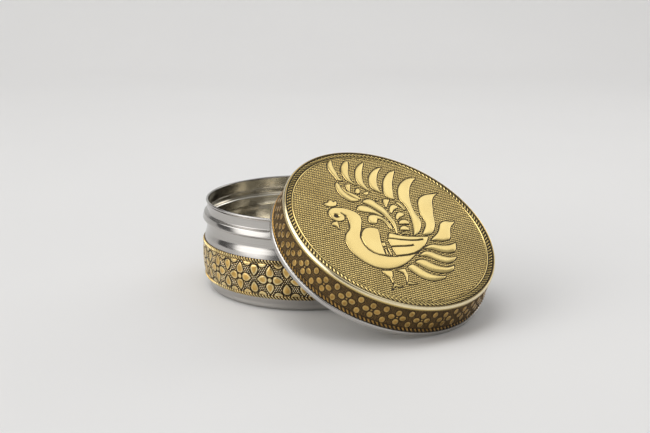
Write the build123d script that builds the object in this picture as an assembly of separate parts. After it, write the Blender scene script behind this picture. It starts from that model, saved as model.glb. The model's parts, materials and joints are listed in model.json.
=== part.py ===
from build123d import *
import math
import os

# Round dry fruit box in millimetres, +Z up, origin at the centre of the pot's underside.
# The pot stands on the table. Its lid is off: it leans against the pot, with its hem on the
# table and the mouth of its skirt hooked over the pot's rim.

# Pot: a drawn steel shell, given by the heights of its zones from the table up
foot_height = 6.3
band_height = 20.8
shoulder_height = 5.4
waist_height = 5.0
bead_height = 4.8
neck_height = 6.3
pot_wall = 0.6

# Pot: outside radii, each zone stepped from the neck
neck_radius = 54.6
rim_curl_radius = 0.65
bead_proud = 2.6
bead_slope = 0.8
bead_corner = 0.8
waist_proud = 0.3
belly_proud = 2.3
belly_crown = 12.45
belly_curve = 55.2
foot_inset = 0.7
foot_corner = 1.8
foot_taper_height = 3.0
foot_bend = 2.5
shoulder_turn_height = 2.4
shoulder_turn_inset = 0.4
shoulder_bend = 6.0
bend_radius = 0.5

# Pot: the shallow ring that is pressed up into its bottom
panel_radius = 38.0
bottom_ring_width = 5.0
bottom_ring_rise = 0.9

# Embossed brass sheets, and the glue line that holds them on the steel
brass_thickness = 0.5
glue_gap = 0.1
seam_gap = 0.3
band_rope_width = 1.9
skirt_rope_width = 2.3
band_rope_rise = 0.35

# Lid: a drawn steel cap with a hem rolled outwards
lid_wall = 0.5
lid_fit = 0.2
lid_depth = 16.9
skirt_draft = 1.75
hem_height = 2.7
hem_proud = 0.8
hem_corner = 0.6
cap_corner = 1.2

# Lid: the brass plate on its top, from the flat field out to the rolled edge
field_radius = 51.9
ridge_width = 0.7
ridge_rise = 0.45
rope_gap = 0.4
rope_width = 2.2
rope_rise = 0.5
edge_roll_rise = 0.6
edge_roll_drop = 2.1
edge_roll_proud = 0.3
edge_roll_round = 0.8
skirt_band_gap = 0.2

# Lid: how it leans on the pot
lean_angle = 31.3
lean_azimuth = -52.4
lean_gap = 0.15
table_gap = 0.05
slide_steps = 200

# Heights and radii that follow from the sizes above
band_bottom = foot_height
band_top = band_bottom + band_height
waist_bottom = band_top + shoulder_height
bead_bottom = waist_bottom + waist_height
bead_top = bead_bottom + bead_height
pot_height = bead_top + neck_height
bead_radius = neck_radius + bead_proud
waist_radius = neck_radius + waist_proud
foot_radius = neck_radius - foot_inset

mouth_radius = bead_radius + lid_fit
skirt_radius = mouth_radius + lid_wall
hem_radius = skirt_radius + hem_proud
cap_top = lid_depth + lid_wall
plate_bottom = cap_top + glue_gap
plate_top = plate_bottom + brass_thickness
edge_roll_bottom = plate_top - edge_roll_drop
skirt_band_bottom = hem_height + skirt_band_gap
skirt_band_top = edge_roll_bottom - skirt_band_gap


def belly_point(height, outward=0.0):
    """Point of the belly's round outside at a height, moved outward from the steel."""
    curve = belly_curve + outward
    crown_height = band_bottom + belly_crown
    centre_radius = neck_radius + belly_proud - belly_curve
    return (centre_radius + math.sqrt(curve**2 - (height - crown_height) ** 2), height)


def belly_arc(bottom, top, outward=0.0):
    """Arc of the belly's outside between two heights."""
    middle = (bottom + top) / 2
    return ThreePointArc(*[belly_point(z, outward) for z in (bottom, middle, top)])


def bump(start, end, rise):
    """Half-round rib from start to end that stands out to the right of its base line."""
    along = Vector(*end) - Vector(*start)
    outward = Vector(along.Y, -along.X).normalized() * rise
    return ThreePointArc(start, Vector(*start) + along / 2 + outward, end)


def skirt_point(height, outward=0.0):
    """Point of the lid's tapered skirt at a height above its hem, moved outward from the steel."""
    return (skirt_radius - skirt_draft * height / lid_depth + outward, height)


def turned(profile):
    """Solid of revolution about Z of a face drawn with radius as X and height as Y."""
    return revolve(Plane.XZ * profile, Axis.Z)


def split_at_back(ring, radius, bottom, height):
    """The ring with the narrow gap at its back where the ends of its strip meet."""
    gap = Pos(0, radius, bottom + height / 2) * Box(seam_gap, radius, 2 * height)
    return ring - gap


def make_box_shell():
    """Drawn steel pot: bottom, foot, belly, waist, bead and neck, with a curled rim."""
    ring_end = panel_radius + bottom_ring_width
    inward_bend = bend_radius + pot_wall
    tuck = belly_point(band_bottom)
    shoulder = belly_point(band_top)
    base = FilletPolyline(
        (0, 0),
        (panel_radius, 0),
        (panel_radius + bottom_ring_rise, bottom_ring_rise),
        (ring_end - bottom_ring_rise, bottom_ring_rise),
        (ring_end, 0),
        (foot_radius, 0),
        (foot_radius, band_bottom - foot_taper_height),
        tuck,
        radius=[inward_bend, bend_radius, bend_radius, inward_bend, foot_corner, foot_bend],
    )
    upper = FilletPolyline(
        shoulder,
        (shoulder[0] - shoulder_turn_inset, band_top + shoulder_turn_height),
        (waist_radius, waist_bottom),
        (waist_radius, bead_bottom),
        (bead_radius, bead_bottom + bead_slope),
        (bead_radius - bead_slope, bead_top - bead_slope),
        (neck_radius, bead_top),
        (neck_radius, pot_height - rim_curl_radius),
        radius=[shoulder_bend, shoulder_bend, bend_radius, bead_corner, bead_corner, bend_radius],
    )
    outline = Curve() + [base, belly_arc(band_bottom, band_top), upper]
    wall = make_face(offset(outline, pot_wall, side=Side.LEFT))
    curl = Pos(neck_radius, pot_height - rim_curl_radius) * Circle(rim_curl_radius)
    return turned(wall + curl)


def make_belly_band():
    """Embossed brass strip round the belly, with a rope border along each edge."""
    outside = glue_gap + brass_thickness
    low_rope_top = band_bottom + band_rope_width
    high_rope_bottom = band_top - band_rope_width
    low = belly_point(band_bottom, outside)
    high = belly_point(band_top, outside)
    profile = Curve() + [
        belly_arc(band_bottom, band_top, glue_gap),
        Line(belly_point(band_bottom, glue_gap), low),
        bump(low, belly_point(low_rope_top, outside), band_rope_rise),
        belly_arc(low_rope_top, high_rope_bottom, outside),
        bump(belly_point(high_rope_bottom, outside), high, band_rope_rise),
        Line(high, belly_point(band_top, glue_gap)),
    ]
    ring = turned(make_face(profile))
    return split_at_back(ring, neck_radius, band_bottom, band_height)


def make_lid_shell():
    """Drawn steel cap of the lid: flat top, tapered skirt and rolled hem."""
    outline = FilletPolyline(
        skirt_point(hem_corner), skirt_point(cap_top), (0, cap_top), radius=cap_corner
    )
    wall = make_face(offset(outline, lid_wall, side=Side.LEFT))
    hem_width = hem_radius - mouth_radius
    hem_centre = Pos(mouth_radius + hem_width / 2, hem_height / 2)
    hem = hem_centre * RectangleRounded(hem_width, hem_height, hem_corner)
    return turned(wall + hem)


def make_lid_skirt_band():
    """Embossed brass strip round the lid's skirt, between the hem and the plate's rolled edge."""
    outside = glue_gap + brass_thickness
    rope_top = skirt_band_bottom + skirt_rope_width
    low = skirt_point(skirt_band_bottom, outside)
    rope_end = skirt_point(rope_top, outside)
    profile = Curve() + [
        Line(skirt_point(skirt_band_bottom, glue_gap), low),
        bump(low, rope_end, band_rope_rise),
        Line(rope_end, skirt_point(skirt_band_top, outside)),
        Line(skirt_point(skirt_band_top, outside), skirt_point(skirt_band_top, glue_gap)),
        Line(skirt_point(skirt_band_top, glue_gap), skirt_point(skirt_band_bottom, glue_gap)),
    ]
    ring = turned(make_face(profile))
    return split_at_back(ring, skirt_radius, skirt_band_bottom, skirt_band_top - skirt_band_bottom)


def make_lid_top_plate():
    """Embossed brass plate on the lid: field, ridge ring, rope ring and the edge rolled down."""
    ridge_end = field_radius + ridge_width
    rope_start = ridge_end + rope_gap
    rope_end = rope_start + rope_width
    roll_radius = skirt_point(plate_top, glue_gap + brass_thickness)[0] + edge_roll_proud
    underside = FilletPolyline(
        (0, plate_bottom),
        skirt_point(plate_bottom, glue_gap),
        skirt_point(edge_roll_bottom, glue_gap),
        radius=cap_corner + glue_gap,
    )
    profile = Curve() + [
        underside,
        Line(skirt_point(edge_roll_bottom, glue_gap), (roll_radius, edge_roll_bottom)),
        Line((roll_radius, edge_roll_bottom), (roll_radius, plate_top - edge_roll_round)),
        ThreePointArc(
            (roll_radius, plate_top - edge_roll_round),
            ((rope_end + roll_radius) / 2, plate_top + edge_roll_rise),
            (rope_end, plate_top),
        ),
        bump((rope_end, plate_top), (rope_start, plate_top), rope_rise),
        Line((rope_start, plate_top), (ridge_end, plate_top)),
        bump((ridge_end, plate_top), (field_radius, plate_top), ridge_rise),
        Line((field_radius, plate_top), (0, plate_top)),
        Line((0, plate_top), (0, plate_bottom)),
    ]
    return turned(make_face(profile))


def hem_to_rim(reach, origin_height):
    """Least distance from the hem's rounded mouth to the pot's rim, for a lid that far out."""
    tilt = math.radians(lean_angle)
    rim_height = pot_height - rim_curl_radius
    mouth = mouth_radius + hem_corner
    least = math.inf
    for degree in range(180):
        angle = math.radians(degree)
        uphill = mouth * math.cos(angle)
        out = reach - uphill * math.cos(tilt) + hem_corner * math.sin(tilt)
        height = origin_height + uphill * math.sin(tilt) + hem_corner * math.cos(tilt)
        from_rim = math.hypot(out, mouth * math.sin(angle)) - neck_radius
        least = min(least, math.hypot(from_rim, height - rim_height))
    return least - rim_curl_radius - hem_corner


def lid_place():
    """Where the lid leans: hem on the table, slid in until its mouth touches the pot's rim."""
    tilt = math.radians(lean_angle)
    azimuth = math.radians(lean_azimuth)
    corner_radius = hem_radius - hem_corner
    origin_height = corner_radius * math.sin(tilt) + hem_corner * (1 - math.cos(tilt)) + table_gap
    reach = neck_radius + hem_radius
    for slide in range(slide_steps):
        reach -= hem_to_rim(reach, origin_height) - lean_gap
    lean = Vector(math.cos(azimuth), math.sin(azimuth), 0)
    level = Vector(-math.sin(azimuth), math.cos(azimuth), 0)
    axis = lean * math.sin(tilt) + Vector(0, 0, math.cos(tilt))
    origin = lean * reach + Vector(0, 0, origin_height)
    return Plane(origin=origin, x_dir=level, z_dir=axis).location


def main():
    """Build every piece, set the lid's pieces in place and write one file for each."""
    place = lid_place()
    pieces = {
        "box_shell": make_box_shell(),
        "belly_band": make_belly_band(),
        "lid_shell": place * make_lid_shell(),
        "lid_skirt_band": place * make_lid_skirt_band(),
        "lid_top_plate": place * make_lid_top_plate(),
    }
    os.makedirs("parts", exist_ok=True)
    for name, piece in pieces.items():
        export_step(piece, f"parts/{name}.step")
    print("lid origin", place.position, "lid axis", Axis(place).direction)


if __name__ == "__main__":
    main()
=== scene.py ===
"""Round dry fruit box: a polished steel pot and its leaning lid, both dressed in embossed brass.

Every piece is shaped in millimetres in its own frame, the pot's or the lid's, with the height
along Z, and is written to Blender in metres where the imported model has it.
"""

import json
import logging
import math
from collections.abc import Callable
from dataclasses import dataclass
from enum import Enum
from itertools import accumulate

import bpy
import numpy as np
from mathutils import Matrix, Vector


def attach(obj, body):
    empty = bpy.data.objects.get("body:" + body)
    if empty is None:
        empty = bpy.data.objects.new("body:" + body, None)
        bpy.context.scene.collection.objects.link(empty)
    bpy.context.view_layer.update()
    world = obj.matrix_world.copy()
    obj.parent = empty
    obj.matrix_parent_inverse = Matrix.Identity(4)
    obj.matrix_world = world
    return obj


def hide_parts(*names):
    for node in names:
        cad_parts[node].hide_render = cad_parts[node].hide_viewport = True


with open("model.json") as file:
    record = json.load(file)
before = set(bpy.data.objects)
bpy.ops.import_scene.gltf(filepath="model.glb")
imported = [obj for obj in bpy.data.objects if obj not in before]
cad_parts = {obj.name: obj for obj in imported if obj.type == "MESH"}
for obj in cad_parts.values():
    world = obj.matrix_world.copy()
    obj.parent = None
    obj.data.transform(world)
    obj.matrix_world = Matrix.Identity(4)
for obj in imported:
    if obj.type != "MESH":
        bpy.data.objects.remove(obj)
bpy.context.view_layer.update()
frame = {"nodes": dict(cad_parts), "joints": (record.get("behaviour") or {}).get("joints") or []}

log = logging.getLogger("dry_fruit_box")

MM = 0.001
PLACE = "own_place"
GILT = "gilt"
HEM_SLICE = 0.05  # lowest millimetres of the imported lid, which show where its hem lies
SHORTEST_RUN = 1e-6
SHELL_COLUMNS = 720
FULL_TURN = 2 * math.pi

Point = tuple[float, float]
Points = list[Point]
Span = tuple[float, float]
Triple = tuple[float, float, float]
Array = np.ndarray
Piece = bpy.types.Object
Material = bpy.types.Material
Node = bpy.types.Node
Socket = bpy.types.NodeSocket
Value = Socket | float


class Body(Enum):
    """The two bodies of the box."""

    BOX = "box"
    LID = "lid"


class Slot(Enum):
    """The record's material slots."""

    STEEL = "polished_steel"
    BELLY = "belly_brass"
    SKIRT = "skirt_brass"
    PLATE = "plate_brass"


@dataclass(frozen=True)
class Place:
    """Where a piece's own frame lies: its origin in millimetres and its three axes."""

    origin: Vector
    across: Vector
    uphill: Vector
    axis: Vector

    def matrix(self) -> Matrix:
        """The frame as a matrix that takes own metres to the row's metres."""
        turn = Matrix((self.across, self.uphill, self.axis)).transposed().to_4x4()
        return Matrix.Translation(self.origin * MM) @ turn


POT_PLACE = Place(Vector((0, 0, 0)), Vector((1, 0, 0)), Vector((0, 1, 0)), Vector((0, 0, 1)))


def lid_place() -> Place:
    """Finds the leaning lid's frame from its joint and its packed shell.

    Returns:
        The place whose origin is the centre of the hem's underside.
    """
    axis = Vector(frame["joints"][0]["axis"]).normalized()
    across = Vector((-axis.y, axis.x, 0)).normalized()
    uphill = axis.cross(across)
    mesh = frame["nodes"]["lid_shell"].data
    corners = np.array([vertex.co for vertex in mesh.vertices]) / MM
    along = corners @ np.array(axis)
    hem = corners[along < along.min() + HEM_SLICE]
    origin = axis * float(along.min())
    for direction in (across, uphill):
        reach = hem @ np.array(direction)
        origin += direction * float((reach.min() + reach.max()) / 2)
    return Place(origin, across, uphill, axis)


def blend_steps(value: Array, low: float, high: float) -> Array:
    """Smooth step of each value from 0 at low to 1 at high."""
    share = np.clip((value - low) / (high - low), 0, 1)
    return share * share * (3 - 2 * share)


def oval(centre: Point, wide: float, high: float, count: int = 16) -> Points:
    """Points of an oval about its centre, from its half width and half height."""
    turns = [FULL_TURN * k / count for k in range(count)]
    return [(centre[0] + wide * math.cos(a), centre[1] + high * math.sin(a)) for a in turns]


class Outline:
    """Closed outline of one raised form on a sheet, in millimetres."""

    sharp_turn = math.radians(62)
    runs = 5

    def __init__(self, points: Points) -> None:
        """Curves the outline through its points, with a break at each sharp turn.

        Args:
            points: Points of the outline in order.
        """
        knots = np.array(points, float)
        after = np.roll(knots, -1, 0)
        back, ahead = knots - np.roll(knots, 1, 0), after - knots
        cross = back[:, 0] * ahead[:, 1] - back[:, 1] * ahead[:, 0]
        sharp = (np.abs(np.arctan2(cross, (back * ahead).sum(1))) > self.sharp_turn)[:, None]
        leave = np.where(sharp, ahead, (back + ahead) / 2)
        arrive = np.roll(np.where(sharp, back, (back + ahead) / 2), -1, 0)
        finer = []
        for step in range(self.runs):
            t = step / self.runs
            start = knots * (2 * t**3 - 3 * t**2 + 1) + leave * (t**3 - 2 * t**2 + t)
            finer.append(start + after * (3 * t**2 - 2 * t**3) + arrive * (t**3 - t**2))
        self.loop = np.stack(finer, 1).reshape(-1, 2)

    def depth(self, x: Array, y: Array) -> Array:
        """Distance from the outline, above zero inside and below zero outside.

        Args:
            x: First coordinates of the points.
            y: Second coordinates of the points.

        Returns:
            One distance for each point.
        """
        least = np.full(x.shape, np.inf)
        inside = np.zeros(x.shape, bool)
        for start, end in zip(self.loop, np.roll(self.loop, -1, 0)):
            least = np.minimum(least, squared_gap(x, y, start, end))
            (ax, ay), (bx, by) = start, end
            if ay != by:
                inside ^= ((ay > y) != (by > y)) & (x < ax + (y - ay) * (bx - ax) / (by - ay))
        return np.where(inside, 1, -1) * np.sqrt(least)


def squared_gap(x: Array, y: Array, start: Point, end: Point) -> Array:
    """Squared distance of points from the straight run between two others.

    Args:
        x: First coordinates of the points.
        y: Second coordinates of the points.
        start: One end of the run.
        end: Its other end.

    Returns:
        One squared distance for each point.
    """
    ax, ay = start
    ex, ey = end[0] - ax, end[1] - ay
    share = np.clip(((x - ax) * ex + (y - ay) * ey) / (ex * ex + ey * ey), 0, 1)
    return (x - ax - share * ex) ** 2 + (y - ay - share * ey) ** 2


@dataclass(frozen=True)
class Stroke:
    """How high a form stands and how its sides are rounded, in millimetres."""

    rise: float
    edge: float
    crown: float = 0.0
    crown_depth: float = 1.8
    lip: float = 0.0
    lip_at: float = 0.45
    lip_width: float = 0.28
    hollow: float = 0.0
    overlap = 0.12  # how far the sides reach past the outline
    hollow_span = (0.5, 1.05)  # from the bright side to the dark hollow

    def height(self, depth: Array) -> Array:
        """Height over the ground at a distance inside the outline.

        Args:
            depth: Distances inside the outline.

        Returns:
            One height for each distance.
        """
        share = np.clip((depth + self.overlap) / self.edge, 0, 1)
        side = self.rise * np.sqrt(1 - (1 - share) ** 2)
        dome = self.crown * (1 - (1 - np.clip(depth / self.crown_depth, 0, 1)) ** 2)
        lip = self.lip * np.exp(-(((depth - self.lip_at) / self.lip_width) ** 2))
        return side + dome - lip


@dataclass(frozen=True)
class Sheet:
    """Brass sheet: its thickness, its glue line, its ground's depth and its seam's gap."""

    brass: float = 0.5
    glue: float = 0.1
    relief: float = 0.42
    seam_gap: float = 0.3

    def outside(self) -> float:
        """Distance of its highest plain face from the steel."""
        return self.glue + self.brass


@dataclass(frozen=True)
class Pips:
    """Staggered small pips of a ground: lengths in millimetres, their radius as a share."""

    spacing: float
    rise: float
    clear: float
    shine: float
    round_share: float
    fullness = 0.3  # power of the dome; lower is fuller
    fade = 0.2
    gild_span = (0.3, 0.75)


class Relief:
    """Heights and gilding of an embossed sheet over its ground, at given points of the sheet."""

    far = -9.0  # depth that stands for bare ground
    reach = 1.6  # how far round an outline its depth is worked out
    gild_span = (-0.05, 0.3)
    groove_span = (0.25, 0.62)  # shares of a groove's width, from its floor to its side

    def __init__(self, x: Array, y: Array) -> None:
        """Starts with flat ground.

        Args:
            x: First coordinates of the sheet's points.
            y: Second coordinates of the sheet's points.
        """
        self.x, self.y = x, y
        self.height = np.zeros(x.shape)
        self.depth = np.full(x.shape, self.far)
        self.gilt = np.zeros(x.shape)

    def emboss(self, points: Points, stroke: Stroke) -> None:
        """Raises one form.

        Args:
            points: The form's outline.
            stroke: Its height and rounding.
        """
        outline = Outline(points)
        low, high = outline.loop.min(0) - self.reach, outline.loop.max(0) + self.reach
        near = (self.x > low[0]) & (self.x < high[0]) & (self.y > low[1]) & (self.y < high[1])
        depth = outline.depth(self.x[near], self.y[near])
        self.depth[near] = np.maximum(self.depth[near], depth)
        self.height[near] = np.maximum(self.height[near], stroke.height(depth))
        hollow = stroke.hollow * blend_steps(depth, *stroke.hollow_span)
        bright = blend_steps(depth, *self.gild_span) * (1 - hollow)
        self.gilt[near] = np.maximum(self.gilt[near], bright)

    def engrave(self, line: Points, width: float, deep: float) -> None:
        """Sinks a soft groove along an open line.

        Args:
            line: Points of the line.
            width: Width of the groove.
            deep: Depth of the groove.
        """
        runs = zip(line, line[1:])
        gap = np.min([squared_gap(self.x, self.y, start, end) for start, end in runs], 0)
        cut = 1 - blend_steps(np.sqrt(gap), *(width * share for share in self.groove_span))
        self.height -= np.minimum(deep * cut, np.maximum(self.height, 0))
        self.gilt *= 1 - cut

    def stipple(self, pips: Pips) -> None:
        """Fills the bare ground with pips in staggered rows.

        Args:
            pips: Spacing and form of the pips.
        """
        row = pips.spacing * math.sqrt(3) / 2
        level = self.y / row
        least = np.full(self.x.shape, np.inf)
        for k in (np.floor(level), np.floor(level) + 1):
            shift = self.x / pips.spacing - 0.5 * np.mod(k, 2)
            side = (shift - np.round(shift)) * pips.spacing
            least = np.minimum(least, side**2 + ((level - k) * row) ** 2)
        share = np.sqrt(least) / (pips.round_share * pips.spacing)
        pip = np.clip(1 - share**2, 0, 1) ** pips.fullness
        pip *= 1 - blend_steps(self.depth, -pips.clear - pips.fade, -pips.clear)
        self.height = np.maximum(self.height, pips.rise * pip)
        self.gilt = np.maximum(self.gilt, pips.shine * blend_steps(pip, *pips.gild_span))


@dataclass(frozen=True)
class Rope:
    """Twisted border of a sheet.

    Its width and rise are in millimetres, its slant is the shift of a strand from the middle
    to the edge in strands, and its crest is the height share over which it is polished and lit by a
    painted highlight, its sides left darker as painted shade.
    """

    width: float
    rise: float
    strands: int
    slant: float
    crest: float
    shine: float = 1.0
    sharpness = 1.5
    furrow = 0.5
    strand_span = (0.3, 0.75)
    crest_fade = 0.3

    def twist(self, turn: Array, across: Array) -> tuple[Array, Array]:
        """Shares of the rope's full height and full gilding.

        Args:
            turn: Angle round the sheet in radians.
            across: Place across the rope from -1 to 1.

        Returns:
            Height share and gilding of each point, zero outside the rope.
        """
        phase = turn / FULL_TURN * self.strands + self.slant * across
        wave = np.abs(np.cos(math.pi * phase))
        strand = np.clip(self.sharpness * wave - self.furrow, 0, 1)
        body = np.sqrt(np.clip(1 - across**2, 0, 1))
        bright = blend_steps(strand, *self.strand_span)
        # Only each strand's crest is gilded: partly polish, partly painted highlight, with painted
        # shade on the rope's sides.
        polish_and_painted_highlight = bright * blend_steps(body, self.crest, self.crest + self.crest_fade)
        return body * strand, self.shine * polish_and_painted_highlight


class Skin:
    """Vertices, faces and gilding of one piece while it is built."""

    def __init__(self) -> None:
        """Starts empty."""
        self.corners: list[Array] = []
        self.gilts: list[Array] = []
        self.faces: list[Array] = []
        self.count = 0

    def add(self, corners: Array, gilt: Array | float = 0.0) -> Array:
        """Adds vertices.

        Args:
            corners: Vertices in millimetres, in any grid of threes.
            gilt: Gilding of each vertex, in the same grid; on steel it marks the inside that is
                painted paler as painted light.

        Returns:
            The numbers of the vertices, in the same grid.
        """
        grid = corners.shape[:-1]
        numbers = self.count + np.arange(int(np.prod(grid))).reshape(grid)
        self.corners.append(corners.reshape(-1, 3))
        self.gilts.append(np.broadcast_to(gilt, grid).reshape(-1))
        self.count += numbers.size
        return numbers

    def weave(self, numbers: Array, closed: bool) -> None:
        """Adds the quads between neighbouring rows.

        Args:
            numbers: Vertex numbers, rows first; faces look outward where rows go up
                and columns go counter-clockwise.
            closed: Whether the last column meets the first.
        """
        grid = np.concatenate([numbers, numbers[:, :1]], 1) if closed else numbers
        quads = np.stack([grid[:-1, :-1], grid[:-1, 1:], grid[1:, 1:], grid[1:, :-1]], -1)
        self.faces.append(quads.reshape(-1, 4))

    def fan(self, ring: Array, height: float, turned: bool) -> None:
        """Closes a ring of vertices to one centre on the axis.

        Args:
            ring: Numbers of the ring's vertices, counter-clockwise from above.
            height: Height of the centre.
            turned: Whether the fan looks down.
        """
        hubs = np.full(ring.shape, int(self.add(np.array([[0, 0, height]]))[0]))
        after = np.roll(ring, -1)
        order = (hubs, after, ring) if turned else (hubs, ring, after)
        self.faces.append(np.stack(order, -1))

    def to_object(self, name: str, place: Place) -> Piece:
        """Writes the piece as a smooth Blender mesh in its place.

        Args:
            name: Name of the piece.
            place: Frame of the piece.

        Returns:
            The new object.
        """
        own = np.concatenate(self.corners) * MM
        turn = np.array(place.matrix())
        world = own @ turn[:3, :3].T + turn[:3, 3]
        mesh = bpy.data.meshes.new(name)
        mesh.from_pydata(world, [], [face.tolist() for part in self.faces for face in part])
        mesh.update()
        spot = mesh.attributes.new(PLACE, "FLOAT_VECTOR", "POINT")
        spot.data.foreach_set("vector", own.astype(np.float32).reshape(-1))
        gilt = mesh.attributes.new(GILT, "FLOAT", "POINT")
        gilt.data.foreach_set("value", np.concatenate(self.gilts).astype(np.float32))
        mesh.shade_smooth()
        return link(bpy.data.objects.new(name, mesh))


def link(thing: Piece) -> Piece:
    """Puts an object into the scene and returns it."""
    bpy.context.scene.collection.objects.link(thing)
    return thing


class Path:
    """Profile line in radius and height, in millimetres, built from runs and arcs."""

    corner_runs = 7

    def __init__(self, points: Points | None = None) -> None:
        """Starts with the given points, or empty."""
        self.points = points or []

    def through(self, knots: Points, radii: list[float]) -> "Path":
        """Adds straight runs with rounded corners.

        Args:
            knots: Corners of the line with its two ends.
            radii: Radius of each corner between the ends.

        Returns:
            The path itself.
        """
        self.points.append(knots[0])
        for before, here, after, radius in zip(knots, knots[1:], knots[2:], radii):
            corner = np.array(here, float)
            to_before = np.array(before, float) - corner
            to_after = np.array(after, float) - corner
            to_before /= np.linalg.norm(to_before)
            to_after /= np.linalg.norm(to_after)
            half = math.acos(float(np.clip(to_before @ to_after, -1, 1))) / 2
            middle = to_before + to_after
            centre = corner + middle / np.linalg.norm(middle) * radius / math.sin(half)
            start = corner + to_before * radius / math.tan(half) - centre
            end = corner + to_after * radius / math.tan(half) - centre
            sweep = math.atan2(start[0] * end[1] - start[1] * end[0], start @ end)
            for step in range(self.corner_runs + 1):
                angle = sweep * step / self.corner_runs
                cos, sin = math.cos(angle), math.sin(angle)
                x = centre[0] + start[0] * cos - start[1] * sin
                self.points.append((x, centre[1] + start[0] * sin + start[1] * cos))
        self.points.append(knots[-1])
        return self

    def arc(self, centre: Point, radius: float, turns: Span, runs: int) -> "Path":
        """Adds an arc.

        Args:
            centre: Centre of the arc.
            radius: Radius of the arc.
            turns: Angles of its first and last point in degrees.
            runs: Number of runs.

        Returns:
            The path itself.
        """
        for step in range(runs + 1):
            angle = math.radians(turns[0] + (turns[1] - turns[0]) * step / runs)
            x = centre[0] + radius * math.cos(angle)
            self.points.append((x, centre[1] + radius * math.sin(angle)))
        return self

    def divided(self, longest: float) -> Array:
        """The path's points with long runs divided.

        Args:
            longest: Longest run that stays.

        Returns:
            Radius and height of each point.
        """
        line = [np.array(self.points[0], float)]
        for point in self.points[1:]:
            start = line[-1]
            run = np.array(point, float) - start
            length = float(np.linalg.norm(run))
            if length < SHORTEST_RUN:
                continue
            parts = max(1, math.ceil(length / longest))
            line.extend(start + run * (part + 1) / parts for part in range(parts))
        return np.array(line)

    def moved(self, inward: float) -> "Path":
        """The same path moved to its left side.

        Args:
            inward: Distance to move.

        Returns:
            The moved path.
        """
        line = np.array(self.points)
        long = np.linalg.norm(np.diff(line, axis=0), axis=1) > SHORTEST_RUN
        line = line[np.append(True, long)]
        runs = np.diff(line, axis=0)
        runs /= np.linalg.norm(runs, axis=1)[:, None]
        along = np.concatenate([runs[:1], runs[:-1] + runs[1:], runs[-1:]])
        along /= np.linalg.norm(along, axis=1)[:, None]
        left = np.stack([-along[:, 1], along[:, 0]], -1)
        return Path([tuple(point) for point in line + left * inward])


def ring_points(line: Array, turns: Array) -> Array:
    """Profile points turned round the Z axis, in rows of the profile and columns of the turns."""
    flat = np.outer(line[:, 0], np.cos(turns)), np.outer(line[:, 0], np.sin(turns))
    return np.stack([*flat, np.repeat(line[:, 1:], len(turns), 1)], -1)


def lathe(name: str, line: Array, inside: Array, place: Place) -> Piece:
    """Turned sheet-metal shell from a profile that starts and ends on the axis.

    Args:
        name: Name of the piece.
        line: Radius and height of the profile's points.
        inside: Whether each point belongs to the inside, which the steel paints paler as painted
            light.
        place: Frame of the piece.

    Returns:
        The new object.
    """
    skin = Skin()
    turns = np.arange(SHELL_COLUMNS) * FULL_TURN / SHELL_COLUMNS
    # The inside flag goes into the gilt attribute, where the steel paints it paler as painted
    # light.
    body = skin.add(ring_points(line[1:-1], turns), inside[1:-1, None].astype(float))
    skin.weave(body, True)
    skin.fan(body[0], line[0][1], True)
    skin.fan(body[-1], line[-1][1], False)
    return skin.to_object(name, place)


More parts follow.
